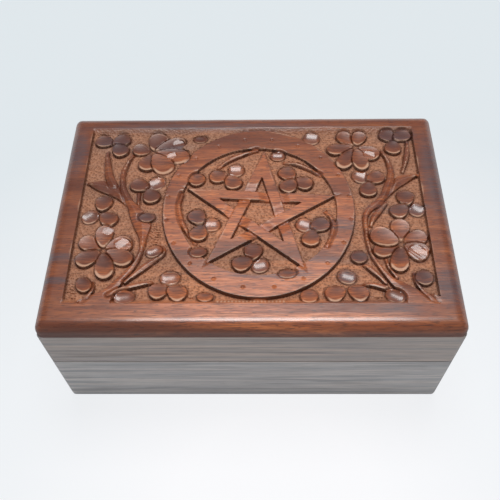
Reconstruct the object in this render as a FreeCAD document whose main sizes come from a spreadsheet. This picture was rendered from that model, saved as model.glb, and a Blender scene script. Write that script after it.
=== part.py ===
import FreeCAD, Part
import math
import os
import Sketcher

# Carved hardwood keepsake box: a mitred tray and a mitred lid, joined at the back by two brass hinges.
# Millimetres. The origin is the middle of the underside, +X to the right, +Y to the back, +Z up.

doc = FreeCAD.newDocument("carved_box")
Vector = FreeCAD.Vector

# Driving dimensions: alias, value, what it measures
SIZES = [
    ("box_length", 152, "outside, left to right"),
    ("box_depth", 102, "outside, front to back"),
    ("base_height", 33.3, "underside to the seam"),
    ("lid_wall_height", 20.7, "seam to the underside of the carved panel"),
    ("panel_thick", 6, "carved panel"),
    ("wall_thick", 9, "all eight walls"),
    ("corner_radius", 2, "upright corners, in plan"),
    ("edge_round", 5, "quarter round on the panel's upper edge"),
    ("seam_arris", 0.3, "broken edge on both sides of the seam"),
    ("floor_thick", 5, "floor board"),
    ("floor_rebate", 4, "how far the floor reaches into the walls"),
    ("border_side", 9, "plain border left and right of the carved field"),
    ("border_front", 10.5, "plain border in front of the field"),
    ("border_back", 7, "plain border behind the field"),
    ("ground_depth", 1.8, "how far the ground is cut below the top"),
    ("ring_margin", 3.25, "ring to the field's front and back edges, before it is shifted"),
    ("ring_width", 8, "ring round the star"),
    ("ring_shift_right", 2.6, "ring's centre from the field's middle"),
    ("ring_shift_front", 0.25, "ring's centre from the field's middle"),
    ("star_rooting", 2, "how far the star's points run into the ring"),
    ("star_band", 4.7, "width of the star's five bands"),
    ("star_bearing_degrees", 86.3, "bearing of the star's back point"),
    ("weave_depth", 0.7, "dip of a band that passes under another"),
    ("weave_length", 3.4, "length of that dip"),
    ("blossom_reach", 7.6, "large flower: centre to the middle of a petal"),
    ("blossom_petal_length", 9, "large flower: petal"),
    ("trefoil_reach", 4.2, "three-petalled flower: centre to the middle of a petal"),
    ("trefoil_petal_length", 7, "three-petalled flower: petal"),
    ("bud_length", 7.2, "single buds"),
    ("petal_lower", 0.2, "petal's outer tip below the top"),
    ("petal_tilt_degrees", 9, "fall of a petal towards its flower's centre"),
    ("leaf_lower", 0.5, "leaves and stems below the top"),
    ("relief_root", 1, "how far the relief runs on into the ground"),
    ("hinge_end_distance", 30, "middle of a hinge from the box's end"),
    ("hinge_inset", 3, "pin's axis from the back face"),
    ("hinge_length", 25, "along the pin"),
    ("leaf_width", 5.6, "pin's axis to the leaf's inner edge"),
    ("leaf_thick", 0.9, "hinge leaf"),
    ("knuckle_radius", 1.6, "outside of the knuckles"),
    ("pin_radius", 0.75, "hinge pin"),
    ("pin_clearance", 0.05, "between pin and knuckle"),
    ("knuckle_clearance", 0.2, "between neighbouring knuckles"),
    ("mortise_clearance", 0.3, "between a hinge and the wood round it"),
    ("lid_opening_degrees", 105, "angle at which the bevelled back edges meet"),
    ("screw_length", 8, "hinge screws"),
    ("screw_head_radius", 1.4, "countersunk head"),
    ("screw_shank_radius", 0.7, "shank"),
    ("screw_spacing", 16, "between the two screws of a leaf"),
    ("screw_reach", 3.6, "pin's axis to the screws' line"),
    ("screw_clearance", 0.05, "round the head and shank in the leaf"),
    ("cut_overrun", 2, "how far cuts run past the wood"),
]

# Widths as shares of a petal's length
PETAL_WIDTH_SHARE = 0.78
BUD_WIDTH_SHARE = 0.74

# Straight cuts round a petal or bud
PETAL_CUTS = 8

# Large flowers: centre as shares of the half length and half depth, then the petals' bearings in degrees
BLOSSOM_SHARES = [
    (-0.728, -0.347, (223, 282, 336, 22, 96)),
    (-0.525, 0.618, (74, 24, 340, 299, 251, 166)),
    (0.743, -0.288, (147, 205, 261, 325, 40, 94)),
    (0.559, 0.667, (192, 142, 70, 323, 279, 236)),
]

# Three-petalled flowers, written the same way
TREFOIL_SHARES = [
    (-0.125, 0.353, (187, 301, 39)),
    (0.220, 0.310, (122, 234, 342)),
    (0.309, -0.167, (143, 261, 40)),
    (0.007, -0.431, (205, 316, 78)),
    (-0.254, -0.118, (122, 356, 261)),
    (-0.776, -0.010, (208, 323, 85)),
    (-0.763, 0.706, (159, 35, 309)),
    (-0.549, 0.225, (39, 149, 297)),
    (-0.392, -0.653, (73, 210, 318)),
    (0.789, 0.069, (336, 216, 93)),
    (0.783, 0.735, (138, 38, 252)),
    (0.609, 0.294, (140, 41, 263)),
    (0.461, -0.657, (90, 210, 326)),
]

# Single buds: centre as above, then the bearing of the tip
BUD_SHARES = [
    (-0.286, 0.320, 250),
    (0.136, 0.559, 20),
    (0.175, -0.547, 340),
    (-0.257, -0.363, 300),
    (-0.586, -0.749, 335),
    (-0.792, -0.647, 110),
    (-0.471, -0.353, 15),
    (-0.526, -0.045, 100),
    (0.328, 0.751, 290),
    (0.526, -0.406, 130),
    (0.675, -0.745, 340),
    (0.274, -0.731, 290),
    (0.825, -0.575, 60),
]

# Leaves and stems: both ends as above, then the rise of the two edges as shares of the leaf's length
LEAF_SHARES = [
    (-0.684, -0.765, -0.553, -0.100, 0.055, -0.060),
    (-0.546, -0.157, -0.668, 0.529, -0.045, 0.055),
    (-0.632, 0.070, -0.855, 0.290, -0.230, 0.030),
    (-0.728, 0.300, -0.793, 0.590, -0.030, 0.070),
    (-0.425, -0.385, -0.610, -0.625, 0.020, 0.170),
    (-0.470, -0.610, -0.668, -0.690, 0.000, 0.120),
    (-0.492, -0.030, -0.518, -0.370, 0.060, 0.190),
    (-0.785, -0.680, -0.772, -0.804, -0.040, -0.240),
    (0.770, -0.790, 0.578, -0.230, -0.040, 0.055),
    (0.580, -0.270, 0.690, 0.170, -0.120, -0.220),
    (0.668, 0.090, 0.697, 0.650, 0.060, 0.150),
    (0.670, 0.060, 0.868, 0.353, 0.030, -0.220),
    (0.842, 0.706, 0.796, 0.392, -0.060, -0.180),
    (0.530, -0.430, 0.660, -0.620, -0.130, 0.040),
    (0.510, -0.630, 0.715, -0.725, -0.130, 0.020),
    (0.800, -0.590, 0.870, -0.790, 0.050, 0.230),
    (-0.125, 0.490, 0.020, 0.614, -0.030, -0.150),
    (0.243, 0.490, 0.353, 0.394, -0.020, -0.170),
    (0.384, -0.010, 0.391, -0.280, -0.050, -0.230),
    (-0.380, -0.040, -0.317, -0.225, 0.020, 0.190),
]

# The quarter round takes at most this share of the panel's thickness
EDGE_LIMIT_SHARE = 0.95


def fill_sheet():
    sheet = doc.addObject("Spreadsheet::Sheet", "Sizes")
    for row, (alias, value, note) in enumerate(SIZES, start=1):
        sheet.set(f"A{row}", alias)
        sheet.set(f"B{row}", str(value))
        sheet.set(f"C{row}", note)
        sheet.setAlias(f"B{row}", alias)
    doc.recompute()
    return sheet


sheet = fill_sheet()


def size(alias):
    return float(sheet.get(alias))


def bind(target, **expressions):
    for name, expression in expressions.items():
        target.setExpression(name.replace("__", "."), expression)


def place(target, right="0", back="0", up="0", turn=None):
    if turn:
        target.Placement = FreeCAD.Placement(Vector(), turn)
    bind(target, Placement__Base__x=right, Placement__Base__y=back, Placement__Base__z=up)


def new_body(label):
    body = doc.addObject("PartDesign::Body", label)
    body.Label = label
    return body


def new_sketch(body, role, name, offset=("0", "0", "0")):
    sketch = body.newObject("Sketcher::SketchObject", f"{body.Name}_{name}")
    support = next(plane for plane in body.Origin.OriginFeatures if plane.Role == role)
    sketch.AttachmentSupport = [(support, "")]
    sketch.MapMode = "FlatFace"
    for axis, expression in zip("xyz", offset):
        sketch.setExpression(f"AttachmentOffset.Base.{axis}", expression)
    doc.recompute()
    return sketch


def pin_point(sketch, edge, end, name, place_expressions):
    for kind, expression in zip(("DistanceX", "DistanceY"), place_expressions):
        value = float(sketch.evalExpression(expression))
        index = sketch.addConstraint(Sketcher.Constraint(kind, -1, 1, edge, end, value))
        sketch.renameConstraint(index, f"{name}_{kind}")
        sketch.setExpression(f"Constraints.{name}_{kind}", expression)


def add_outline(sketch, name, corners, arcs=None):
    """A closed outline through the corners. An arc leaves the corner of its number, round a given centre."""
    arcs = arcs or {}
    points = [Vector(*[float(sketch.evalExpression(e)) for e in corner], 0) for corner in corners]
    first = sketch.GeometryCount
    count = len(points)
    for i, start in enumerate(points):
        end = points[(i + 1) % count]
        if i in arcs:
            middle = Vector(*[float(sketch.evalExpression(e)) for e in arcs[i]], 0)
            toward = (start + end) / 2 - middle
            crest = middle + toward.normalize() * (start - middle).Length
            anticlockwise = (start - middle).cross(end - middle).z > 0
            ends_in_order = (start, crest, end) if anticlockwise else (end, crest, start)
            sketch.addGeometry(Part.Arc(*ends_in_order), False)
        else:
            sketch.addGeometry(Part.LineSegment(start, end), False)
    ends = []
    for i in range(count):
        edge = sketch.Geometry[first + i]
        forward = (edge.StartPoint - points[i]).Length < (edge.EndPoint - points[i]).Length
        ends.append((1, 2) if forward else (2, 1))
    for i in range(count):
        following = (i + 1) % count
        joint = (first + i, ends[i][1], first + following, ends[following][0])
        sketch.addConstraint(Sketcher.Constraint("Coincident", *joint))
    for i, corner in enumerate(corners):
        pin_point(sketch, first + i, ends[i][0], f"{name}_{i}", corner)
    for i, middle in arcs.items():
        radius = sketch.Geometry[first + i].Radius
        index = sketch.addConstraint(Sketcher.Constraint("Radius", first + i, radius))
        sketch.renameConstraint(index, f"{name}_{i}_Radius")
        across, along = corners[i]
        reach = f"sqrt(pow({across} - ({middle[0]}); 2) + pow({along} - ({middle[1]}); 2))"
        sketch.setExpression(f"Constraints.{name}_{i}_Radius", reach)


def add_circle(sketch, name, centre, radius):
    middle = Vector(*[float(sketch.evalExpression(e)) for e in centre], 0)
    value = float(sketch.evalExpression(radius))
    edge = sketch.addGeometry(Part.Circle(middle, Vector(0, 0, 1), value), False)
    pin_point(sketch, edge, 3, name, centre)
    index = sketch.addConstraint(Sketcher.Constraint("Radius", edge, value))
    sketch.renameConstraint(index, f"{name}_Radius")
    sketch.setExpression(f"Constraints.{name}_Radius", radius)


def rectangle(left, front, right, back):
    return [(left, front), (right, front), (right, back), (left, back)]


def grow(body, sketch, length, symmetric=False):
    pad = body.newObject("PartDesign::Pad", f"{sketch.Name}_pad")
    pad.Profile = sketch
    pad.SideType = "Symmetric" if symmetric else "One side"
    bind(pad, Length=length)
    doc.recompute()
    return pad


def cut(body, sketch, length, symmetric=False, upward=False):
    before = body.Shape.Volume
    pocket = body.newObject("PartDesign::Pocket", f"{sketch.Name}_pocket")
    pocket.Profile = sketch
    pocket.SideType = "Symmetric" if symmetric else "One side"
    pocket.Reversed = upward
    bind(pocket, Length=length)
    doc.recompute()
    if not pocket.Shape.Volume < before:
        raise RuntimeError(f"{sketch.Name} cuts nothing")
    return pocket


def turned(body, sketch, kind):
    feature = body.newObject(f"PartDesign::{kind}", f"{sketch.Name}_turned")
    feature.Profile = sketch
    feature.ReferenceAxis = (sketch, ["V_Axis"])
    doc.recompute()
    return feature


def mirror(body, originals):
    feature = body.newObject("PartDesign::Mirrored", f"{body.Name}_mirrored")
    feature.Originals = originals
    feature.MirrorPlane = (next(p for p in body.Origin.OriginFeatures if p.Role == "YZ_Plane"), [""])
    body.Tip = feature
    doc.recompute()
    return feature


def edge_names(shape, wanted):
    return [f"Edge{i}" for i, edge in enumerate(shape.Edges, start=1) if wanted(edge)]


def combine(kind, label, base, tool):
    result = doc.addObject(f"Part::{kind}", label)
    result.Label = label
    result.Base = base
    result.Tool = tool
    doc.recompute()
    return result


# Walls
def wall_board(label, run, reach, height, seam_on_top):
    """One wall, drawn as the front one: mitred ends, rounded corners and a broken edge at the seam."""
    body = new_body(label)
    end = f"{run} / 2"
    face = f"-{reach} / 2"
    inset = "Sizes.corner_radius * (1 - cos(45))"
    corners = [
        (f"-{end} + Sizes.corner_radius", face),
        (f"{end} - Sizes.corner_radius", face),
        (f"{end} - {inset}", f"{face} + {inset}"),
        (f"{end} - Sizes.wall_thick", f"{face} + Sizes.wall_thick"),
        (f"-{end} + Sizes.wall_thick", f"{face} + Sizes.wall_thick"),
        (f"-{end} + {inset}", f"{face} + {inset}"),
    ]
    arcs = {
        1: (f"{end} - Sizes.corner_radius", f"{face} + Sizes.corner_radius"),
        5: (f"-{end} + Sizes.corner_radius", f"{face} + Sizes.corner_radius"),
    }
    plan = new_sketch(body, "XY_Plane", "plan")
    add_outline(plan, "plan", corners, arcs)
    board = grow(body, plan, height)
    seam_level = board.Shape.BoundBox.ZMax if seam_on_top else board.Shape.BoundBox.ZMin
    front = board.Shape.BoundBox.YMin
    slack = size("corner_radius") / 2

    def at_seam(edge):
        flat = abs(edge.BoundBox.ZMin - seam_level) + abs(edge.BoundBox.ZMax - seam_level) < slack / 100
        return flat and edge.CenterOfMass.y < front + slack and edge.BoundBox.YMin < front + slack / 100

    arris = body.newObject("PartDesign::Chamfer", f"{label}_arris")
    arris.Base = (board, edge_names(board.Shape, at_seam))
    bind(arris, Size="Sizes.seam_arris")
    doc.recompute()
    return body


def base_wall(label, run, reach):
    """A wall of the tray, with the floor's rebate in its lower edge."""
    body = wall_board(label, run, reach, "Sizes.base_height", True)
    lip = "(Sizes.wall_thick - Sizes.floor_rebate)"
    face = f"-{reach} / 2"
    rebate = new_sketch(body, "XY_Plane", "rebate")
    end = f"({run} / 2 - {lip})"
    inner = f"{face} + Sizes.wall_thick + Sizes.cut_overrun"
    add_outline(rebate, "rebate", rectangle(f"-{end}", f"{face} + {lip}", end, inner))
    cut(body, rebate, "Sizes.floor_thick", upward=True)
    return body


def lid_wall(label, run, reach):
    return wall_board(label, run, reach, "Sizes.lid_wall_height", False)


SIDES = {
    "front": ("Sizes.box_length", "Sizes.box_depth", 0),
    "right": ("Sizes.box_depth", "Sizes.box_length", 90),
    "back": ("Sizes.box_length", "Sizes.box_depth", 180),
    "left": ("Sizes.box_depth", "Sizes.box_length", 270),
}
UPRIGHT = Vector(0, 0, 1)

# Cutters for the bevelled back edges and the two hinge seats
bevel_cutter = new_body("back_bevel_cutter")
bevel = new_sketch(bevel_cutter, "YZ_Plane", "bevel")
bevel_reach = "(Sizes.hinge_inset + Sizes.cut_overrun)"
bevel_rise = f"{bevel_reach} * tan(Sizes.lid_opening_degrees / 2)"
add_outline(bevel, "bevel", [("0", "0"), (bevel_reach, f"-{bevel_rise}"), (bevel_reach, bevel_rise)])
grow(bevel_cutter, bevel, "Sizes.box_length + 2 * Sizes.cut_overrun", symmetric=True)
place(bevel_cutter, back="Sizes.box_depth / 2 - Sizes.hinge_inset", up="Sizes.base_height")

hinge_cutter = new_body("hinge_seat_cutter")
seat_half = "(Sizes.hinge_length / 2 + Sizes.mortise_clearance)"
seat_middle = "(Sizes.box_length / 2 - Sizes.hinge_end_distance)"
mortise = new_sketch(hinge_cutter, "XY_Plane", "mortise")
mortise_back = "-(Sizes.leaf_width + Sizes.mortise_clearance)"
mortise_ends = (f"{seat_middle} - {seat_half}", f"{seat_middle} + {seat_half}")
add_outline(mortise, "mortise", rectangle(mortise_ends[0], mortise_back, mortise_ends[1], "0"))
mortise_pad = grow(hinge_cutter, mortise, "2 * Sizes.leaf_thick", symmetric=True)
barrel = new_sketch(hinge_cutter, "YZ_Plane", "barrel", ("0", "0", seat_middle))
add_circle(barrel, "barrel", ("0", "0"), "Sizes.knuckle_radius + Sizes.mortise_clearance")
barrel_pad = grow(hinge_cutter, barrel, f"2 * {seat_half}", symmetric=True)
pilots = new_sketch(hinge_cutter, "XY_Plane", "pilots")
for i, side in enumerate((-1, 1)):
    pilot = (f"{seat_middle} + {side} * Sizes.screw_spacing / 2", "-Sizes.screw_reach")
    add_circle(pilots, f"pilot_{i}", pilot, "Sizes.screw_shank_radius")
pilots_pad = grow(hinge_cutter, pilots, "2 * Sizes.screw_length", symmetric=True)
mirror(hinge_cutter, [mortise_pad, barrel_pad, pilots_pad])
place(hinge_cutter, back="Sizes.box_depth / 2 - Sizes.hinge_inset", up="Sizes.base_height")
back_cutter = combine("Fuse", "back_edge_cutter", bevel_cutter, hinge_cutter)

pieces = []
BACK_CUTTERS = {"front": None, "right": bevel_cutter, "left": bevel_cutter, "back": back_cutter}
for part_name, make_wall, level in (("base", base_wall, "0"), ("lid", lid_wall, "Sizes.base_height")):
    for side, (run, reach, turn) in SIDES.items():
        label = f"{part_name}_{side}_wall"
        cutter = BACK_CUTTERS[side]
        body = make_wall(f"{label}_board" if cutter else label, run, reach)
        place(body, up=level, turn=FreeCAD.Rotation(UPRIGHT, turn))
        pieces.append(combine("Cut", label, body, cutter) if cutter else body)

# Floor, let into the rebate from below
FLOOR_LIP = "(Sizes.wall_thick - Sizes.floor_rebate)"
floor = new_body("base_floor")
floor_plan = new_sketch(floor, "XY_Plane", "plan")
floor_end = f"Sizes.box_length / 2 - {FLOOR_LIP}"
floor_side = f"Sizes.box_depth / 2 - {FLOOR_LIP}"
add_outline(floor_plan, "plan", rectangle(f"-({floor_end})", f"-({floor_side})", floor_end, floor_side))
grow(floor, floor_plan, "Sizes.floor_thick")

pieces.append(floor)

# Carved panel: the board, its quarter-round edge and the sunk ground
panel = new_body("lid_panel_board")
half_length = "Sizes.box_length / 2"
half_depth = "Sizes.box_depth / 2"
top = "Sizes.panel_thick"
outline = new_sketch(panel, "XY_Plane", "outline")
add_outline(outline, "outline", rectangle(f"-{half_length}", f"-{half_depth}", half_length, half_depth))
board = grow(panel, outline, top)


def at_top(edge):
    return edge.BoundBox.ZMin > size("panel_thick") / 2


rounding = panel.newObject("PartDesign::Fillet", "panel_rounding")
rounding.Base = (board, edge_names(board.Shape, at_top))
bind(rounding, Radius=f"min(Sizes.edge_round; Sizes.panel_thick * {EDGE_LIMIT_SHARE})")
doc.recompute()

corner_cut = new_sketch(panel, "XY_Plane", "corners")
for right in (-1, 1):
    for back in (-1, 1):
        edge = (f"{right} * {half_length}", f"{back} * {half_depth}")
        tangent = (f"{edge[0]} - {right} * Sizes.corner_radius", f"{edge[1]} - {back} * Sizes.corner_radius")
        past = (f"{edge[0]} + {right} * Sizes.cut_overrun", f"{edge[1]} + {back} * Sizes.cut_overrun")
        corner = [
            (edge[0], tangent[1]),
            (tangent[0], edge[1]),
            (tangent[0], past[1]),
            past,
            (past[0], tangent[1]),
        ]
        add_outline(corner_cut, f"corner_{right + 1}{back + 1}", corner, {0: tangent})
cut(panel, corner_cut, top, upward=True)

ring_outer = "((Sizes.box_depth - Sizes.border_front - Sizes.border_back) / 2 - Sizes.ring_margin)"
ring_inner = f"({ring_outer} - Sizes.ring_width)"
field_middle = "(Sizes.border_front - Sizes.border_back) / 2"
ring_middle = ("Sizes.ring_shift_right", f"{field_middle} - Sizes.ring_shift_front", top)
field = new_sketch(panel, "XY_Plane", "field", ("0", "0", top))
field_side = f"{half_length} - Sizes.border_side"
field_front = f"-({half_depth} - Sizes.border_front)"
field_back = f"{half_depth} - Sizes.border_back"
add_outline(field, "field", rectangle(f"-({field_side})", field_front, field_side, field_back))
add_circle(field, "ring", ring_middle[:2], ring_outer)
cut(panel, field, "Sizes.ground_depth")

# Star of five woven bands, drawn for one point and repeated round the ring
POINT_STEP = 72
HALF_POINT = 18
outer_line = f"(({ring_inner} + Sizes.star_rooting) * sin({HALF_POINT}))"
inner_line = f"({outer_line} - Sizes.star_band)"


def polar(radius, bearing):
    return (f"{radius} * cos({bearing})", f"{radius} * sin({bearing})")


def meeting(first, first_bearing, second, second_bearing):
    """Where two lines cross, each given by its distance from the centre and the bearing of its normal."""
    across = f"sin({second_bearing} - ({first_bearing}))"
    right = f"({first} * sin({second_bearing}) - {second} * sin({first_bearing})) / {across}"
    back = f"({second} * cos({first_bearing}) - {first} * cos({second_bearing})) / {across}"
    return (right, back)


bearing = "Sizes.star_bearing_degrees"
next_bearing = f"(Sizes.star_bearing_degrees + {POINT_STEP})"
lean = f"({POINT_STEP} - acos({outer_line} / {ring_inner}) / 1 deg)"
gap = new_sketch(panel, "XY_Plane", "gap", ring_middle)
gap_corners = [
    polar(ring_inner, f"(Sizes.star_bearing_degrees + {lean})"),
    meeting(outer_line, bearing, outer_line, next_bearing),
    polar(ring_inner, f"(Sizes.star_bearing_degrees + {POINT_STEP} - {lean})"),
]
add_outline(gap, "gap", gap_corners, {2: ("0", "0")})
gap_cut = cut(panel, gap, "Sizes.ground_depth")

slit = new_sketch(panel, "XY_Plane", "slit", ring_middle)
slit_corners = [
    meeting(outer_line, bearing, inner_line, next_bearing),
    meeting(inner_line, next_bearing, inner_line, f"(Sizes.star_bearing_degrees - {POINT_STEP})"),
    meeting(outer_line, bearing, inner_line, f"(Sizes.star_bearing_degrees - {POINT_STEP})"),
]
add_outline(slit, "slit", slit_corners)
slit_cut = cut(panel, slit, "Sizes.ground_depth")

dip_cuts = []
DIPS = {
    "outer_dip": (outer_line, f"({outer_line} + Sizes.weave_length)"),
    "inner_dip": (f"({inner_line} - Sizes.weave_length)", inner_line),
}
for name, (near, far) in DIPS.items():
    dip = new_sketch(panel, "XY_Plane", name, ring_middle)
    dip_corners = [
        meeting(near, bearing, inner_line, next_bearing),
        meeting(near, bearing, outer_line, next_bearing),
        meeting(far, bearing, outer_line, next_bearing),
        meeting(far, bearing, inner_line, next_bearing),
    ]
    add_outline(dip, name, dip_corners)
    dip_cuts.append(cut(panel, dip, "Sizes.weave_depth"))

points = panel.newObject("PartDesign::PolarPattern", "star_points")
points.Originals = [gap_cut, slit_cut] + dip_cuts
points.Axis = (gap, ["N_Axis"])
points.Occurrences = 360 // POINT_STEP
panel.Tip = points
doc.recompute()

heart = new_sketch(panel, "XY_Plane", "heart", ring_middle)
heart_corners = []
for i in range(360 // POINT_STEP):
    side = f"(Sizes.star_bearing_degrees + {POINT_STEP * i})"
    following = f"(Sizes.star_bearing_degrees + {POINT_STEP * (i + 1)})"
    heart_corners.append(meeting(inner_line, side, inner_line, following))
add_outline(heart, "heart", heart_corners)
cut(panel, heart, "Sizes.ground_depth")


# Flowers, buds, leaves and stems standing on the sunk ground
def field_point(right_share, back_share, up):
    return Vector(size("box_length") / 2 * right_share, size("box_depth") / 2 * back_share, up)


def petal(middle, bearing_degrees, length, width_share):
    """An oval boss, pared round with straight cuts, whose top falls towards the flower's centre."""
    half = length / 2
    tall = size("ground_depth") + size("relief_root")
    turns = [math.radians(360 * i / PETAL_CUTS) for i in range(PETAL_CUTS)]
    fall = math.tan(math.radians(size("petal_tilt_degrees")))
    rim = []
    for turn in turns:
        along = half * math.cos(turn)
        rim.append(Vector(along, half * width_share * math.sin(turn), (along - half) * fall))
    boss = Part.Face(Part.makePolygon(rim + rim[:1])).extrude(Vector(0, 0, -tall))
    boss.rotate(Vector(), UPRIGHT, bearing_degrees)
    boss.translate(middle)
    return boss


def leaf(start, end, first_rise, second_rise):
    """A boss between two arcs that share both ends. A rise is to the left of the way from start to end."""
    way = end - start
    left = Vector(-way.y, way.x, 0)
    edges = []
    for a, b, rise in ((start, end, first_rise), (end, start, second_rise)):
        crest = (start + end) / 2 + left * rise
        straight = abs(rise) * way.Length < size("leaf_lower") / 100
        edges.append(Part.LineSegment(a, b).toShape() if straight else Part.Arc(a, crest, b).toShape())
    tall = size("ground_depth") - size("leaf_lower") + size("relief_root")
    return Part.Face(Part.Wire(edges)).extrude(Vector(0, 0, -tall))


def relief_bosses():
    petal_top = size("panel_thick") - size("petal_lower")
    leaf_top = size("panel_thick") - size("leaf_lower")
    flowers = (
        (BLOSSOM_SHARES, size("blossom_reach"), size("blossom_petal_length")),
        (TREFOIL_SHARES, size("trefoil_reach"), size("trefoil_petal_length")),
    )
    for table, reach, length in flowers:
        for right_share, back_share, bearings in table:
            for degrees in bearings:
                angle = math.radians(degrees)
                out = Vector(math.cos(angle), math.sin(angle), 0) * reach
                middle = field_point(right_share, back_share, petal_top) + out
                yield petal(middle, degrees, length, PETAL_WIDTH_SHARE)
    for right_share, back_share, degrees in BUD_SHARES:
        middle = field_point(right_share, back_share, petal_top)
        yield petal(middle, degrees, size("bud_length"), BUD_WIDTH_SHARE)
    for right, back, end_right, end_back, first_rise, second_rise in LEAF_SHARES:
        start = field_point(right, back, leaf_top)
        yield leaf(start, field_point(end_right, end_back, leaf_top), first_rise, second_rise)


relief = doc.addObject("Part::Feature", "carved_relief")
bosses = list(relief_bosses())
relief.Shape = bosses[0].multiFuse(bosses[1:])
for carved in (panel, relief):
    place(carved, up="Sizes.base_height + Sizes.lid_wall_height")
pieces.append(combine("Fuse", "lid_panel", panel, relief))


# Hinges
KNUCKLE_COUNT = 3
knuckle_half = f"Sizes.hinge_length / {2 * KNUCKLE_COUNT}"
hinge_half = "Sizes.hinge_length / 2"


def hinge_leaf(label, gaps):
    """A leaf and its knuckles about the pin's axis. The gaps leave room for the other leaf's knuckles."""
    body = new_body(label)
    plate = new_sketch(body, "YZ_Plane", "plate")
    add_outline(plate, "plate", rectangle("-Sizes.leaf_width", "-Sizes.leaf_thick", "0", "0"))
    grow(body, plate, "Sizes.hinge_length", symmetric=True)
    knuckles = new_sketch(body, "YZ_Plane", "knuckles")
    add_circle(knuckles, "knuckles", ("0", "0"), "Sizes.knuckle_radius")
    grow(body, knuckles, "Sizes.hinge_length", symmetric=True)
    room = "(Sizes.knuckle_radius + Sizes.knuckle_clearance)"
    slots = new_sketch(body, "XY_Plane", "slots")
    for i, (start, end) in enumerate(gaps):
        add_outline(slots, f"slot_{i}", rectangle(start, f"-{room}", end, room))
    cut(body, slots, f"2 * {room}", symmetric=True)
    bore = new_sketch(body, "YZ_Plane", "bore")
    add_circle(bore, "bore", ("0", "0"), "Sizes.pin_radius + Sizes.pin_clearance")
    cut(body, bore, "Sizes.hinge_length + Sizes.cut_overrun", symmetric=True)
    sink = new_sketch(body, "XZ_Plane", "sink", ("Sizes.screw_spacing / 2", "0", "Sizes.screw_reach"))
    add_outline(sink, "sink", screw_profile("Sizes.screw_clearance", "-Sizes.leaf_thick - Sizes.cut_overrun"))
    groove = turned(body, sink, "Groove")
    mirror(body, [groove])
    return body


def screw_profile(clearance, foot):
    """Half section of a countersunk screw about its upright axis, from the head down to a square foot."""
    head = f"Sizes.screw_head_radius + {clearance}"
    shank = f"Sizes.screw_shank_radius + {clearance}"
    return [("0", "0"), (head, "0"), (shank, "-Sizes.leaf_thick"), (shank, foot), ("0", foot)]


def hinge_pin(label):
    body = new_body(label)
    section = new_sketch(body, "YZ_Plane", "section")
    add_circle(section, "section", ("0", "0"), "Sizes.pin_radius")
    grow(body, section, "Sizes.hinge_length", symmetric=True)
    return body


MIDDLE_GAP = [(f"-({knuckle_half} + Sizes.knuckle_clearance)", f"{knuckle_half} + Sizes.knuckle_clearance")]
END_GAPS = [
    (f"-({hinge_half} + Sizes.cut_overrun)", f"-({knuckle_half})"),
    (knuckle_half, f"{hinge_half} + Sizes.cut_overrun"),
]
FLIPPED = FreeCAD.Rotation(Vector(0, 1, 0), 180)
for side, sign in (("left", "-"), ("right", "")):
    axis_place = {
        "right": f"{sign}{seat_middle}",
        "back": "Sizes.box_depth / 2 - Sizes.hinge_inset",
        "up": "Sizes.base_height",
    }
    base_leaf = hinge_leaf(f"{side}_hinge_base_leaf", MIDDLE_GAP)
    place(base_leaf, **axis_place)
    lid_leaf = hinge_leaf(f"{side}_hinge_lid_leaf", END_GAPS)
    place(lid_leaf, **axis_place, turn=FLIPPED)
    pin = hinge_pin(f"{side}_hinge_pin")
    place(pin, **axis_place)
    pieces += [base_leaf, lid_leaf, pin]

# Hinge screws: one screw, and two groups of four
screw = new_body("hinge_screw")
screw_section = new_sketch(screw, "XZ_Plane", "section")
add_outline(screw_section, "section", screw_profile("0", "-Sizes.screw_length"))
turned(screw, screw_section, "Revolution")


def screw_group(label, turn):
    copies = []
    hinge_right = size("box_length") / 2 - size("hinge_end_distance")
    back = size("box_depth") / 2 - size("hinge_inset") - size("screw_reach")
    for hinge in (-1, 1):
        for along in (-1, 1):
            right = hinge * hinge_right + along * size("screw_spacing") / 2
            copy = screw.Shape.copy()
            copy.Placement = FreeCAD.Placement(Vector(right, back, size("base_height")), turn)
            copies.append(copy)
    group = doc.addObject("Part::Feature", label)
    group.Label = label
    group.Shape = Part.makeCompound(copies)
    return group


pieces.append(screw_group("base_hinge_screws", FreeCAD.Rotation()))
pieces.append(screw_group("lid_hinge_screws", FLIPPED))

# Check every object, then write each piece
doc.recompute()
for item in doc.Objects:
    if {"Invalid", "Error"} & set(item.State):
        raise RuntimeError(f"{item.Label} did not build")
for piece in pieces:
    if piece.Shape.isNull() or not piece.Shape.isValid():
        raise RuntimeError(f"{piece.Label} has a bad shape")
os.makedirs("parts", exist_ok=True)
for piece in pieces:
    piece.Shape.exportStep(f"parts/{piece.Label}.step")
    print(f"{piece.Label}: {len(piece.Shape.Solids)} solid(s), {piece.Shape.Volume:.1f} mm3")
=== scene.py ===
"""A carved rosewood box: its looks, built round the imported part. The carving is in millimetres."""

import math

import bmesh
import bpy
import numpy as np
from mathutils import Matrix, Vector


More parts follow.
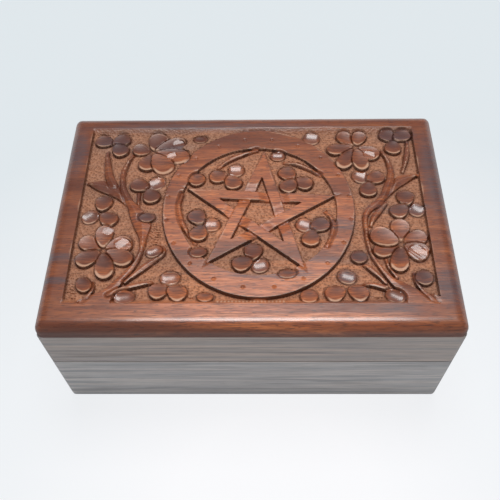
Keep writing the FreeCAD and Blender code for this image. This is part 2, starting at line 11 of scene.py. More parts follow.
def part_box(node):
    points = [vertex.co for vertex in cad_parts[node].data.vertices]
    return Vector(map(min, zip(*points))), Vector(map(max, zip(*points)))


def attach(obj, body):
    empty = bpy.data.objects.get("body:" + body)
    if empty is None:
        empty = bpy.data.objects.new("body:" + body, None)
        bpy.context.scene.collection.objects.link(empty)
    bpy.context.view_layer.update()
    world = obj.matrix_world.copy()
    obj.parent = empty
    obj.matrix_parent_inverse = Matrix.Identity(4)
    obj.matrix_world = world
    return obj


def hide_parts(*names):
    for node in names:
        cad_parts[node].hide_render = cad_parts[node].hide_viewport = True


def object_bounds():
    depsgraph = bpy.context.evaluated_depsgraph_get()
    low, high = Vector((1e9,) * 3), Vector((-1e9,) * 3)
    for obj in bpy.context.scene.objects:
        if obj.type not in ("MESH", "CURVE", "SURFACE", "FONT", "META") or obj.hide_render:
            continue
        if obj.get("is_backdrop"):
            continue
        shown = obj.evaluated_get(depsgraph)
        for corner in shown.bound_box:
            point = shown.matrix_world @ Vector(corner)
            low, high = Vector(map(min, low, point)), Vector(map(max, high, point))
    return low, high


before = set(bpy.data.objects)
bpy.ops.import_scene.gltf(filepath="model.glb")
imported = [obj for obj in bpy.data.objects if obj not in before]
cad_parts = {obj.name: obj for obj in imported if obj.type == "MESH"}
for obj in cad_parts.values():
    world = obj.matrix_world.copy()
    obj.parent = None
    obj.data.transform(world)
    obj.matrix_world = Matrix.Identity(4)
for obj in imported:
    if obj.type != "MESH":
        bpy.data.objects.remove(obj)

cad_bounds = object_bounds()
MM = 0.001


# The panel's own sizes, in millimetres: its plan comes from the frame, and the lid's middle is the origin
PANEL_LOW, PANEL_HIGH = (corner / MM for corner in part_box("lid_panel"))
HALF_LENGTH = PANEL_HIGH.x
HALF_DEPTH = PANEL_HIGH.y
EDGE_ROUND = 5.0
CORNER_ROUND = 3.0
BORDER_SIDE = 9.0
BORDER_FRONT = 10.5
BORDER_BACK = 7.0

# Mesh spacing: close over the carved field, and a few lines over the rounded edge and the plain border
CARVING_STEP = 0.375
ROUND_LINES = 8
BORDER_LINES = 1
FIELD_MARGIN = 0.6
EDGE_POWER = 2.5

# The ground's depth below the panel's top, how far it wavers, a pared wall's width, and the field's ramps
GROUND_DEPTH = 1.5
RING_GROUND_DEPTH = 1.15
GROUND_WAVER = 0.1
WAVER_PITCH = 2.6
HATCH_DEPTH = 0.3
HATCH_PITCH = 1.15
WALL_WIDTH = 0.38
BACK_RAMP = 3.2
FRONT_RAMP = 2.6

# Where the ground is shallow beside the ring: by what share, its bearing and spread in radians seen from the
# ring's middle, and its distance and reach from there
SHALLOW_SHARE = 0.8
SHALLOW_BEARING = 2.45
SHALLOW_SPREAD = 0.5
SHALLOW_DISTANCE = 41
SHALLOW_REACH = 6

# The ring and the star: the ring's outer edge is a little longer than it is wide, as the carver left it
RING_MIDDLE = (2.5, 1.5)
RING_INNER = 30.7
RING_OUTER_MIDDLE = (2.8, 1.9)
RING_OUTER_HALF_LENGTH = 37.4
RING_OUTER_HALF_DEPTH = 40.5
RING_PINS = 20
RING_PIN_REACH = 35.8
PIN_RADIUS = 0.75
PIN_DEPTH = 0.5
DOT_ROW = -39.9
DOT_ROW_REACH = 11.7
DOT_PITCH = 1.3
DOT_RADIUS = 0.35
STAR_MIDDLE = (3.2, -0.1)
STAR_REACH = 31.7
STAR_BEARING = 86.3
STAR_BAND = 4.8
WEAVE_DEPTH = 0.85
WEAVE_LENGTH = 4.0

# Tops: a trough is cut along a lobe, a scoop is deeper at its back, a bowl falls to the flower's heart,
# a facet falls to the front, and a stem to both sides
RIM_DEPTH = 0.55
RIM_FROM = 0.62
TROUGH_DEPTH = 0.75
TROUGH_TILT = 0.1
SCOOP_DEPTH = 0.7
SCOOP_BACK = 0.8
SCOOP_TILT = 0.3
DEEPEST = 1.1
BOWL_DEPTH = 0.5
PETAL_FALL = 0.35
FACET_SLOPE = 0.2
FACET_SLOPE_RISE = 0.0024
FACET_LEAN = 0.003
FACET_DEPTH = 0.6
FACET_BELOW = 0.3
FACET_ROUND = 0.16
FAN_LINES = 40
FAN_DEPTH = 0.03
STEM_DEPTH = 0.2
STEM_FALL = 0.75
STEM_LEAST = 0.85
CUT_DEPTH = 0.8
GROOVE_DEPTH = 0.3
GROOVE_WIDTH = 0.7
GROOVE_SHADE = 0.5
ROUND_BURNISH = 0.7
# Painted shade on pared walls grows between these slopes. A rim that stands this far over the mean of the
# points within this many steps round it is pale, partly from wear and partly as a painted highlight
WALL_SLOPE = 1
WALL_SLOPE_RANGE = 2
WEAR_AND_HIGHLIGHT_POINTS = 3
WEAR_AND_HIGHLIGHT_HEIGHT = 0.6
UNEVENNESS = 0.05
UNEVEN_PITCH = 7.0

# Flowers: the centre, then each petal's tip, its width and how its top is cut
BLOSSOMS = [
    ((-55.5, -17.3), [
        (-64.8, -12.3, 6.8, "bowl"), (-56.0, -5.8, 6.8, "bowl"), (-44.6, -13.4, 8.0, "bowl"),
        (-43.8, -22.6, 7.4, "bowl"), (-64.8, -23.6, 7.4, "scoop"), (-53.0, -30.4, 7.2, "scoop")]),
    ((-41.2, 31.3), [
        (-49.5, 33.5, 6.4, "bowl"), (-37.5, 41.5, 8.6, "bowl"), (-27.6, 38.0, 6.4, "bowl"),
        (-25.4, 27.6, 8.2, "bowl"), (-43.5, 21.0, 7.2, "scoop"), (-33.2, 19.6, 8.6, "bowl")]),
    ((56.3, -15.0), [
        (56.6, -3.4, 7.4, "bowl"), (66.0, -10.6, 7.0, "bowl"), (45.3, -19.2, 6.6, "bowl"),
        (45.0, -9.4, 8.6, "bowl"), (65.6, -20.6, 8.2, "bowl"), (53.6, -27.6, 7.0, "scoop")]),
    ((43.0, 33.8), [
        (36.3, 41.5, 6.6, "bowl"), (46.0, 42.0, 6.2, "bowl"), (30.8, 31.4, 6.4, "scoop"),
        (35.6, 21.6, 6.8, "scoop"), (52.2, 27.8, 7.4, "bowl"), (45.2, 20.6, 6.6, "bowl")]),
]
# A petal's middle and length as shares of the way from the centre to its tip, and how far it widens outwards
PETAL_MIDDLE = 0.54
PETAL_LENGTH = 0.92
PETAL_TAPER = 0.3

# Lobes of the small flowers, scooped with a round gouge: the flower's centre, then the lobes' middles
TREFOILS = [
    ((-9.0, 18.0), [(-13.4, 18), (-7.3, 14.8)]),
    ((16.9, 15.8), [(14.3, 19.5), (21, 14.3), (14.7, 12.8)]),
    ((23.2, -8.2), [(26.5, -6), (22.5, -12.5)]),
    ((0.3, -21.8), [(0.8, -18), (-3.5, -23.5)]),
    ((-18.8, -6.0), [(-21, -2), (-20, -10)]),
    ((-58.6, 0.0), [(-58, 5), (-55, -3)]),
    ((-57.2, 35.9), [(-62, 37.5), (-54.5, 38), (-54.5, 32.3)]),
    ((-41.0, 12.0), [(-45, 13.8), (-39.5, 8)]),
    ((-29.8, -33.4), [(-33.3, -35), (-26.3, -35.8)]),
    ((60.3, 3.0), [(60.3, 7), (57, 0.3)]),
    ((59.4, 37.3), [(56.8, 39.7), (63, 39.8), (58.3, 32.8)]),
    ((46.5, 15.2), [(49.8, 17.2), (46.2, 10.8)]),
    ((34.7, -33.8), [(30, -36.3), (38.7, -36)]),
]
LOBE_LENGTH = 8.2
LOBE_WIDTH = 7.0
LOBE_TAPER = 0.25
LOBE_INWARD = 0.4

# Scooped buds, then lobes and buds cut as troughs: middle, bearing in degrees, length, width
SCOOPED = [
    (-21.7, 16.3, 60, 7.4, 6.4), (13.3, -27.9, 5, 6.6, 4.4), (-19.5, -18.5, 10, 6.6, 5.0),
    (-60.6, -32.4, 120, 7.4, 6.0), (-40.2, -2.3, 0, 6.6, 5.0), (-16.3, -37.5, 0, 6.4, 4.4),
    (-21.5, 38, 0, 6.0, 4.4), (39.9, -20.8, 170, 6.6, 6.2), (20.8, -37.3, 0, 6.8, 6.2),
    (62.7, -29.8, 0, 6.8, 7.0),
]
TROUGHED = [
    (-62.3, -1.8, 33, 7.4, 6.4), (-38, 14.6, 28, 7.4, 6.4), (-36.3, -17.9, 25, 6.8, 5.2),
    (-29.4, -29.5, 6, 7.8, 6.2), (-45.2, -37.6, 10, 8.0, 5.8), (-15.2, -5.8, 0, 7.2, 6.2),
    (-6.2, 21.2, 5, 6.8, 6.4), (20.2, -6, -28, 6.8, 6.4), (3.4, -24.3, 18, 7.0, 6.4),
    (34.8, -29.2, -22, 7.4, 6.2), (51.3, -37.4, -28, 7.6, 5.6), (43.6, 17.8, -32, 7.4, 6.6),
    (63.7, 1.0, -33, 7.2, 6.4), (10.7, 28.6, 0, 6.4, 4.8), (24.9, 38.3, -10, 7.2, 6.6),
]

# Petals' ends pared flat with one push of the chisel: middle, bearing in degrees, length, width
FACETS = [
    (-54.6, -8.4, 20, 4.6, 3.8), (-30.4, 35.6, 0, 5.4, 5.4), (-33.0, 29.7, 15, 4.6, 3.6),
    (48.3, 29.3, -30, 5.4, 5.0),
]
FANS = [(-48.3, -14.4, -20, 7.0, 5.4), (61.9, -18.6, -32, 7.6, 7.0)]

# Patches of ground that are hatched: middle and half sizes. Dark grey patches, likewise: streaks of the
# board's figure, and patches that make some lobes and buds darker
HATCHES = [(-36.6, -11.5, 2.6, 6), (-64.5, -35.5, 2.2, 4), (38, -38.5, 14, 2), (-22, -38.5, 8, 1.5)]
STREAKS = [
    (34, -6.5, 8, 2.6), (58, 1.5, 13, 2.4), (30, -22.6, 10, 1.2), (8, -28.4, 16, 2.0), (-72, -21, 7, 1.8),
    (-72, -31, 8, 1.4), (-18, 44.2, 46, 2.4), (52, -43, 8, 2.4), (-72, 31, 4, 12), (72.5, 18, 4, 22),
    (71, -34, 5, 8), (-30, 33.5, 8, 1.6), (-21, -4, 4, 5), (26, -7, 4, 5), (60, 39, 8, 4), (-58, 36, 7, 5),
    (-40, -2, 5, 2.5), (40.5, -21, 4, 3), (62.5, -30, 4, 4), (34.8, -29, 4, 3),
]

# Stems and leaves: points along the middle line with the half width there
STEMS = [
    [(-65.3, 14.8, 0.4), (-62.5, 14, 1.8), (-59, 13.3, 3), (-55.5, 11.8, 3.2), (-52, 9, 2.4), (-49, 5.5, 1.6),
     (-46.5, 1.5, 1)],
    [(-59.6, 31, 0.5), (-59.2, 27, 1.3), (-58.4, 22.5, 1.6), (-57.3, 18, 1.9), (-55, 13.5, 1.8)],
    [(-44.6, 10.5, 0.5), (-44.4, 6, 0.7), (-44.2, 1.5, 0.8)],
    [(-57, -43, 6), (-52, -37.5, 3), (-48, -31.5, 1.7), (-44.3, -26, 1.5), (-42, -21, 1.3), (-40.9, -16, 1.2),
     (-41.1, -10.5, 2), (-42, -5, 3.6), (-44.2, -1, 3.0), (-46.5, 3, 2), (-49, 7.5, 1.5), (-50.8, 11.5, 1.3),
     (-51.8, 16, 1.3), (-51.8, 21, 1.2), (-50.3, 26.5, 0.8), (-49, 29.5, 0.4)],
    [(-34.5, -15.4, 0.4), (-32.6, -17, 0.7), (-32.8, -19.5, 0.8), (-35.3, -21.7, 1.2), (-38.5, -24.3, 1.5),
     (-42, -27.8, 1.2), (-45.5, -31.5, 0.7)],
    [(-35.8, -31.8, 0.5), (-39.5, -32.4, 1.1), (-43.5, -33.4, 1.2), (-47.5, -35, 1), (-51, -37, 0.8)],
    [(-57.6, -31.5, 0.5), (-57, -35, 0.8), (-58.8, -38, 0.7), (-61, -40.8, 0.5)],
    [(66.4, 18, 0.4), (63, 17, 1.6), (59.5, 15.5, 2.5), (56.5, 13, 2.3), (54, 9.5, 1.5), (52, 6, 0.9)],
    [(64.4, 36.5, 0.5), (63.9, 31, 1.2), (62.8, 26, 1.2), (60.8, 20, 0.6)],
    [(45.6, -6.5, 0.6), (47, -3, 1.3), (49.5, 0.5, 1.4), (52, 4, 1.2)],
    [(64, -43.5, 6.5), (58, -38, 3.6), (53, -33, 2.2), (49.8, -29.5, 1.3), (47.2, -25.3, 1), (45, -20.5, 1),
     (43.8, -15, 1), (43.6, -9, 1.1), (43.8, -3, 1.2), (45.5, 1, 1.5), (49, 4, 1.7), (51.8, 7.5, 1.6),
     (53.8, 12, 1.7), (55.6, 17, 1.6), (56, 22, 1.4), (55, 27, 1), (53, 31, 0.6)],
    [(49.6, -21, 0.5), (50.4, -25, 0.9), (52.8, -29.8, 0.7)],
    [(41.5, -24.3, 0.6), (43.5, -26, 1.2), (46, -28.8, 1), (48.5, -32, 0.6)],
    [(40.5, -32.8, 0.4), (44, -33, 1), (48, -34.2, 1.2), (52, -36, 1)],
    [(59.3, -28, 0.5), (59.4, -31.5, 0.8), (61.3, -35.5, 0.8), (64.5, -39.3, 0.8), (67, -41.5, 0.6)],
    [(-13.5, 22.5, 0.4), (-9, 26.5, 1.1), (-4, 29.2, 1), (2.2, 31.8, 0.4)],
    [(13.5, 25.2, 0.4), (18.5, 24, 1), (23, 21.7, 1), (27.5, 18.5, 0.4)],
    [(28.8, 0, 0.4), (31, -4, 1), (31, -9, 1.1), (28.5, -16, 0.4)],
    [(-27.4, 9, 0.4), (-28.2, 3, 0.9), (-26.8, -4, 1.1), (-24, -10, 0.9), (-21, -14.5, 0.4)],
]

# Boards and screws, in metres: the eased arrises, how far in and how wide the seam gapes, and a screw's slot
ARRIS = 0.5 * MM
METAL_ARRIS = 0.05 * MM
SEAM_DEPTH = 1.5 * MM
SEAM_GAP = 0.5 * MM
SLOT_WIDTH = 0.45 * MM
SLOT_DEPTH = 0.35 * MM
HEAD_RIM = 0.2 * MM
LEAST_HEAD_AREA = (1.5 * MM) ** 2


def smooth_step(value):
    value = np.clip(value, 0, 1)
    return value * value * (3 - 2 * value)


def lattice_noise(x, y, cell, seed):
    """Smooth random values from -1 to 1, about one peak or dip to a cell of that size."""
    table = np.random.default_rng(seed).uniform(-1, 1, (512, 512))
    column, row = x / cell + 256, y / cell + 256
    i, j = np.floor(column).astype(int), np.floor(row).astype(int)
    right, back = smooth_step(column - i), smooth_step(row - j)
    front_row = table[j, i] * (1 - right) + table[j, i + 1] * right
    back_row = table[j + 1, i] * (1 - right) + table[j + 1, i + 1] * right
    return front_row * (1 - back) + back_row * back


def curve_through(points, steps=12):
    """Points of a smooth line through given points, whose width goes along with it."""
    points = np.array(points, float)
    padded = np.vstack([2 * points[0] - points[1], points, 2 * points[-1] - points[-2]])
    t = np.linspace(0, 1, steps, endpoint=False)[:, None]
    runs = []
    for a, b, c, d in zip(padded, padded[1:], padded[2:], padded[3:]):
        runs.append(b + 0.5 * t * (c - a + t * (2 * a - 5 * b + 4 * c - d + t * (3 * (b - c) + d - a))))
    return np.vstack(runs + [points[-1:]])


class Form:
    """One carved form: how far a point is inside its outline, and its top.

    It also has how far it is punched and burnished, how much painted shade darkens its hollow, how far in a
    cut is set round it, and where a painted highlight lies along its front rim.
    """

    def __init__(self, low, high, inside, top, punched=0, burnished=0, dark=0, set_in=1):
        self.low = low
        self.high = high
        self.inside = inside
        self.top = top
        self.punched = punched
        self.burnished = burnished
        self.dark = dark
        self.set_in = set_in
        self.bright = None

    def near(self, x, y):
        wide = (x > self.low[0]) & (x < self.high[0])
        return np.nonzero(wide & (y > self.low[1]) & (y < self.high[1]))[0]


EVERYWHERE = ((-100, -100), (100, 100))


def field_inside(x, y):
    """How far a point is inside the sunk field. The field's front and back ends are ramps."""
    side = HALF_LENGTH - BORDER_SIDE - abs(x)
    front = (y + HALF_DEPTH - BORDER_FRONT) * WALL_WIDTH / FRONT_RAMP
    back = (HALF_DEPTH - BORDER_BACK - y) * WALL_WIDTH / BACK_RAMP
    return np.minimum(side, np.minimum(front, back))


def ring_outer_inside(x, y):
    right, back = x - RING_OUTER_MIDDLE[0], y - RING_OUTER_MIDDLE[1]
    share = np.hypot(right / RING_OUTER_HALF_LENGTH, back / RING_OUTER_HALF_DEPTH)
    return (1 - share) * (RING_OUTER_HALF_LENGTH + RING_OUTER_HALF_DEPTH) / 2


def ring_inner_inside(x, y):
    return RING_INNER - np.hypot(x - RING_MIDDLE[0], y - RING_MIDDLE[1])


def soft_patches(patches, x, y):
    """One inside any of the patches, fading to nought at their edges."""
    share = np.zeros_like(x)
    for middle_x, middle_y, half_x, half_y in patches:
        away = np.hypot((x - middle_x) / half_x, (y - middle_y) / half_y)
        share = np.maximum(share, smooth_step(1.5 - away))
    return share


def ground(x, y):
    """The sunk ground: wavering, hatched in places, and shallow along the back left of the ring."""
    bearing = np.arctan2(y - RING_MIDDLE[1], x - RING_MIDDLE[0])
    beside = abs(np.hypot(x - RING_MIDDLE[0], y - RING_MIDDLE[1]) - SHALLOW_DISTANCE)
    shallow = SHALLOW_SHARE * smooth_step(1.6 - abs(bearing - SHALLOW_BEARING) / SHALLOW_SPREAD)
    shallow = shallow * smooth_step(1.4 - beside / SHALLOW_REACH)
    depth = np.where(ring_inner_inside(x, y) > 0, RING_GROUND_DEPTH, GROUND_DEPTH * (1 - shallow))
    hatch = HATCH_DEPTH * np.sin(y * 2 * math.pi / HATCH_PITCH + x * 0.4) * soft_patches(HATCHES, x, y)
    return -depth + hatch + GROUND_WAVER * lattice_noise(x, y, WAVER_PITCH, seed=4)


def level_top(x, y):
    return np.zeros_like(x)


def star_lines(x, y):
    """Each band's line as a distance from the star's middle, for the five bands in turn."""
    bearings = [math.radians(STAR_BEARING + 72 * i) for i in range(5)]
    return [(x - STAR_MIDDLE[0]) * math.cos(b) + (y - STAR_MIDDLE[1]) * math.sin(b) for b in bearings]


STAR_OUTER_LINE = STAR_REACH * math.cos(math.radians(72))
STAR_INNER_LINE = STAR_OUTER_LINE - STAR_BAND


def star_band(number):
    """One straight band from tip to tip. It dips where the band before it passes over."""

    def inside(x, y):
        out = star_lines(x, y)
        ends = np.maximum(out[(number + 2) % 5], out[(number + 3) % 5])
        across = np.minimum(out[number] - STAR_INNER_LINE, STAR_OUTER_LINE - out[number])
        return np.minimum(across, STAR_OUTER_LINE - ends)

    def top(x, y):
        over = star_lines(x, y)[(number + 4) % 5]
        away = np.maximum(over - STAR_OUTER_LINE, STAR_INNER_LINE - over)
        return -WEAVE_DEPTH * (1 - smooth_step(away / WEAVE_LENGTH))

    return Form(*EVERYWHERE, inside, top)


STAR_BANDS = [star_band(number) for number in range(5)]


def star():
    """The five bands woven together: where two cross, the higher one shows."""

    def inside(x, y):
        return np.max([band.inside(x, y) for band in STAR_BANDS], axis=0)

    def top(x, y):
        heights = []
        for band in STAR_BANDS:
            share = np.clip(band.inside(x, y) / WALL_WIDTH, 0, 1)
            heights.append(band.top(x, y) * share - GROUND_DEPTH * (1 - share))
        return np.max(heights, axis=0)

    return Form(*EVERYWHERE, inside, top, set_in=0.35)


def oval(middle, bearing, length, width, taper, top):
    """An oval form, wider at its outer end where it has a taper, its finish given by how its top is cut."""

    def shares(x, y):
        right, back = x - middle[0], y - middle[1]
        along = (right * math.cos(bearing) + back * math.sin(bearing)) / (length / 2)
        across = (back * math.cos(bearing) - right * math.sin(bearing)) / (width / 2)
        across = across / np.maximum(1 + taper * along, 0.3)
        return along, across

    def inside(x, y):
        return (1 - np.hypot(*shares(x, y))) * (length + width) / 4

    def shaped_top(x, y):
        return top(*shares(x, y), x, y, middle, width)

    # A painted highlight: a crescent just inside the rim, on the form's front side
    def painted_rim_highlight(x, y):
        share = np.hypot(*shares(x, y))
        crescent = smooth_step((share - RIM_FROM) / 0.2) * smooth_step((1 - share) / 0.1)
        return crescent * smooth_step((middle[1] - y) / (width / 2) * 1.6 - 0.4)

    reach = max(length, width) / 2 + 2
    low = (middle[0] - reach, middle[1] - reach)
    high = (middle[0] + reach, middle[1] + reach)
    form = Form(low, high, inside, shaped_top, 0, *FINISHES[top])
    if form.set_in:
        form.bright = painted_rim_highlight
    return form


def trough_top(along, across, x, y, middle, width):
    """A round-bottomed cut along the form, its front a little lower than its back."""
    hollow = TROUGH_DEPTH * np.maximum(1 - along**4 - across**2, 0)
    return -RIM_DEPTH - hollow - TROUGH_TILT * (width / 2 - (y - middle[1]))


def scoop_top(along, across, x, y, middle, width):
    """A hollow left by one turn of a round gouge, steep at its back and shallow at its front."""
    hollow = SCOOP_DEPTH * (1 - np.minimum(np.hypot(along, across), 1) ** 2)
    back = np.clip((y - middle[1]) / (width / 2), -1, 1)
    return -RIM_DEPTH - hollow * (1 + SCOOP_BACK * back) - SCOOP_TILT * (1 + back) / 2


def bowl_top(along, across, x, y, middle, width):
    """A petal hollowed a little that falls to the flower's heart."""
    hollow = BOWL_DEPTH * (1 - np.minimum(np.hypot(along, across), 1) ** 2)
    return -RIM_DEPTH - hollow - PETAL_FALL * (1 - along) / 2


def facet_top(along, across, x, y, middle, width):
    """Nearly flat: falls to the front, more so towards the lid's back, and to the middle of the lid."""
    slope = FACET_SLOPE + FACET_SLOPE_RISE * middle[1]
    fall = slope * (middle[1] + width / 2 - y) - FACET_LEAN * middle[0] * (x - middle[0])
    return -RIM_DEPTH - FACET_BELOW - np.clip(fall, 0, FACET_DEPTH) - FACET_ROUND * (along**2 + across**2)


def fan_top(along, across, x, y, middle, width):
    """A flat scored with a fan of fine lines."""
    fan = np.sin(np.arctan2(across, along + 2.2) * FAN_LINES)
    return facet_top(along, across, x, y, middle, width) + FAN_DEPTH * fan


PETAL_TOPS = {"scoop": scoop_top, "bowl": bowl_top}
# How far each cut is burnished, how much painted shade darkens its hollow, and how far in a cut is set round
# it
FINISHES = {
    trough_top: (0.75, 0.6, 1),
    scoop_top: (0, 1, 1),
    bowl_top: (0, 0.7, 1),
    facet_top: (0.35, 0, 0),
    fan_top: (0.35, 0, 0),
}


def ovals(table, top):
    for x, y, bearing, length, width in table:
        yield oval((x, y), math.radians(bearing), length, width, 0, top)


def flowers_and_buds():
    yield from ovals(SCOOPED, scoop_top)
    yield from ovals(TROUGHED, trough_top)
    for centre, middles in TREFOILS:
        for x, y in middles:
            bearing = math.atan2(y - centre[1], x - centre[0])
            middle = (x - LOBE_INWARD * math.cos(bearing), y - LOBE_INWARD * math.sin(bearing))
            yield oval(middle, bearing, LOBE_LENGTH, LOBE_WIDTH, LOBE_TAPER, scoop_top)
    for centre, petals in BLOSSOMS:
        for x, y, width, cut in petals:
            right, back = x - centre[0], y - centre[1]
            middle = (centre[0] + PETAL_MIDDLE * right, centre[1] + PETAL_MIDDLE * back)
            bearing = math.atan2(back, right)
            length = PETAL_LENGTH * math.hypot(right, back)
            yield oval(middle, bearing, length, width, PETAL_TAPER, PETAL_TOPS[cut])
    yield from ovals(FACETS, facet_top)
    yield from ovals(FANS, fan_top)


def stem(points):
    """A stem or leaf with a ridge along its middle. Thin ends sink into the ground."""
    line = curve_through(points)
    standing = np.clip(line[:, 2] / STEM_LEAST, 0, 1)
    half_width = np.maximum(line[:, 2], STEM_LEAST)

    def inside(x, y):
        gaps = np.hypot(x[:, None] - line[:, 0], y[:, None] - line[:, 1])
        return np.max(half_width - gaps, axis=1)

    def top(x, y):
        gaps = np.hypot(x[:, None] - line[:, 0], y[:, None] - line[:, 1])
        nearest = np.argmin(gaps - half_width, axis=1)
        share = np.min(gaps / half_width, axis=1)
        lower = (STEM_DEPTH + STEM_FALL * share) * smooth_step(field_inside(x, y) / 3)
        return -lower * standing[nearest] - GROUND_DEPTH * (1 - standing[nearest])

    reach = line[:, 2].max() + 2
    return Form(line.min(0) - reach, line.max(0) + reach, inside, top, set_in=0.6)


def carved_forms():
    """Every form of the carving, in the order in which a later one covers an earlier one."""
    forms = [
        Form(*EVERYWHERE, field_inside, ground, punched=1),
        Form(*EVERYWHERE, ring_outer_inside, level_top, set_in=0.6),
        Form(*EVERYWHERE, ring_inner_inside, ground, punched=1),
    ]
    forms += [stem(points) for points in STEMS]
    forms += flowers_and_buds()
    forms.append(star())
    return forms


def drawn_to_outlines(forms, x, y):
    """Moves the mesh's points that lie close to a wall's foot or rim onto it, so that edges run clean."""
    new_x, new_y = x.copy(), y.copy()
    small = CARVING_STEP / 50
    reach = CARVING_STEP * 0.5
    for form in forms + STAR_BANDS:
        near = form.near(x, y)
        px, py = x[near], y[near]
        inside = form.inside(px, py)
        slope_x = (form.inside(px + small, py) - inside) / small
        slope_y = (form.inside(px, py + small) - inside) / small
        steep = np.maximum(slope_x**2 + slope_y**2, 0.05)
        covered = near[inside > WALL_WIDTH + reach]
        new_x[covered], new_y[covered] = x[covered], y[covered]
        for level in (0, WALL_WIDTH):
            short = (level - inside) / steep
            close = abs(level - inside) < np.minimum(reach, WALL_WIDTH / 2)
            new_x[near[close]] = (px + short * slope_x)[close]
            new_y[near[close]] = (py + short * slope_y)[close]
    return new_x, new_y


def carved_heights(forms, x, y):
    """Heights over the panel's top after each form is cut in turn, and where each finish, painted shade and
    painted highlight shows.
    """
    height = np.zeros_like(x)
    shows = {"punched": np.zeros_like(x), "burnished": np.zeros_like(x)}
    hollow_shade = np.zeros_like(x)
    bright = np.zeros_like(x)
    groove = np.zeros_like(x)
    for form in forms:
        near = form.near(x, y)
        px, py, before = x[near], y[near], height[near]
        inside = form.inside(px, py)
        share = np.clip(inside / WALL_WIDTH, 0, 1)
        top = form.top(px, py)
        if form.punched:
            after = np.where(inside > 0, np.minimum(before, top * share), before)
        else:
            foot = before - form.set_in * CUT_DEPTH * np.clip(field_inside(px, py) / WALL_WIDTH, 0, 1)
            foot = np.maximum(foot, -GROUND_DEPTH - form.set_in * GROOVE_DEPTH)
            beside = np.clip(1 + inside / GROOVE_WIDTH, 0, 1)
            after = np.where(inside > 0, foot * (1 - share) + top * share, before + (foot - before) * beside)
            cut = np.where(inside > 0, 1 - share, beside) * form.set_in
            groove[near] = np.where(inside > 0, cut, np.maximum(groove[near], cut))
        height[near] = after
        for finish, amount in shows.items():
            amount[near] = np.where(inside > 0, share * getattr(form, finish), amount[near])
        # Painted shade in the form's hollow, darker the lower it is cut
        shade_in_hollow = np.clip((-RIM_DEPTH - top) / DEEPEST, 0, 1) * form.dark
        hollow_shade[near] = np.where(inside > 0, shade_in_hollow, hollow_shade[near])
        # The painted highlight on the form's front rim
        bright[near] = np.where(inside > 0, form.bright(px, py) if form.bright else 0, bright[near])
    punch_pins(x, y, height)
    shows["hollow_shade"] = hollow_shade
    shows["bright"] = bright
    shows["groove"] = groove
    shows["streak"] = soft_patches(STREAKS, x, y)
    border = field_inside(x, y) < 0
    height[border] = 0
    for finish in ("punched", "burnished", "hollow_shade", "bright", "groove"):
        shows[finish][border] = 0
    return height + UNEVENNESS * lattice_noise(x, y, UNEVEN_PITCH, seed=8), shows


def dotted_row(x, y):
    """A row of small bright dots in front of the ring: one at a dot's middle and nought between them."""
    nearest = np.clip(np.round(x / DOT_PITCH) * DOT_PITCH, -DOT_ROW_REACH, DOT_ROW_REACH)
    return smooth_step(1.6 - np.hypot(x - nearest, y - DOT_ROW) / DOT_RADIUS)


def punch_pins(x, y, height):
    """Small round punch marks in a ring."""
    for i in range(RING_PINS):
        bearing = 2 * math.pi * (i + 0.5) / RING_PINS
        right = RING_OUTER_MIDDLE[0] + RING_PIN_REACH * math.cos(bearing)
        back = RING_MIDDLE[1] + RING_PIN_REACH * math.sin(bearing)
        away = np.hypot(x - right, y - back)
        height -= PIN_DEPTH * (1 - smooth_step(away / PIN_RADIUS - 0.2))


def grid_lines(half, border_low, border_high):
    """Places of the mesh's lines across the panel: closer over the carved field and the rounded edge."""
    turns = np.linspace(0, math.pi / 2, ROUND_LINES + 1)
    round_edge = EDGE_ROUND * (1 - np.cos(turns))
    low_field, high_field = -half + border_low - FIELD_MARGIN, half - border_high + FIELD_MARGIN
    field = np.linspace(low_field, high_field, round((high_field - low_field) / CARVING_STEP))
    low_border = np.linspace(-half + EDGE_ROUND, low_field, BORDER_LINES + 2)[1:-1]
    high_border = np.linspace(high_field, half - EDGE_ROUND, BORDER_LINES + 2)[1:-1]
    return np.concatenate([-half + round_edge, low_border, field, high_border, (half - round_edge)[::-1]])


def round_corners(x, y):
    """Draw the square corners of the grid in to round ones."""
    over_x = (abs(x) - (HALF_LENGTH - CORNER_ROUND)) / CORNER_ROUND
    over_y = (abs(y) - (HALF_DEPTH - CORNER_ROUND)) / CORNER_ROUND
    corner = (over_x > 0) & (over_y > 0)
    new_x = HALF_LENGTH - CORNER_ROUND + CORNER_ROUND * over_x * np.sqrt(np.maximum(1 - over_y**2 / 2, 0))
    new_y = HALF_DEPTH - CORNER_ROUND + CORNER_ROUND * over_y * np.sqrt(np.maximum(1 - over_x**2 / 2, 0))
    return np.where(corner, np.sign(x) * new_x, x), np.where(corner, np.sign(y) * new_y, y)


def edge_drop(x, y):
    """How far the rounded upper edge falls at a point."""
    over_x = abs(x) - (HALF_LENGTH - CORNER_ROUND)
    over_y = abs(y) - (HALF_DEPTH - CORNER_ROUND)
    outside = np.hypot(np.maximum(over_x, 0), np.maximum(over_y, 0))
    inside = CORNER_ROUND - outside - np.minimum(np.maximum(over_x, over_y), 0)
    short = np.clip(1 - inside / EDGE_ROUND, 0, 1)
    return EDGE_ROUND * (1 - (1 - short**EDGE_POWER) ** (1 / EDGE_POWER))


def box_mean(grid, reach):
    """Mean of a grid of heights over a small square round each point."""
    padded = np.pad(grid, reach, mode="edge")
    span = 2 * reach + 1
    rows = sum(padded[i:i + grid.shape[0]] for i in range(span)) / span
    return sum(rows[:, i:i + grid.shape[1]] for i in range(span)) / span


def finished_piece(name, bm, material, body, nodes):
    """Turns a bmesh into an object of the scene that stands for those CAD nodes."""
    mesh = bpy.data.meshes.new(name)
    bm.to_mesh(mesh)
    bm.free()
    piece = bpy.data.objects.new(name, mesh)
    bpy.context.scene.collection.objects.link(piece)
    mesh.materials.append(material)
    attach(piece, body)
    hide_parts(*nodes)
    return piece


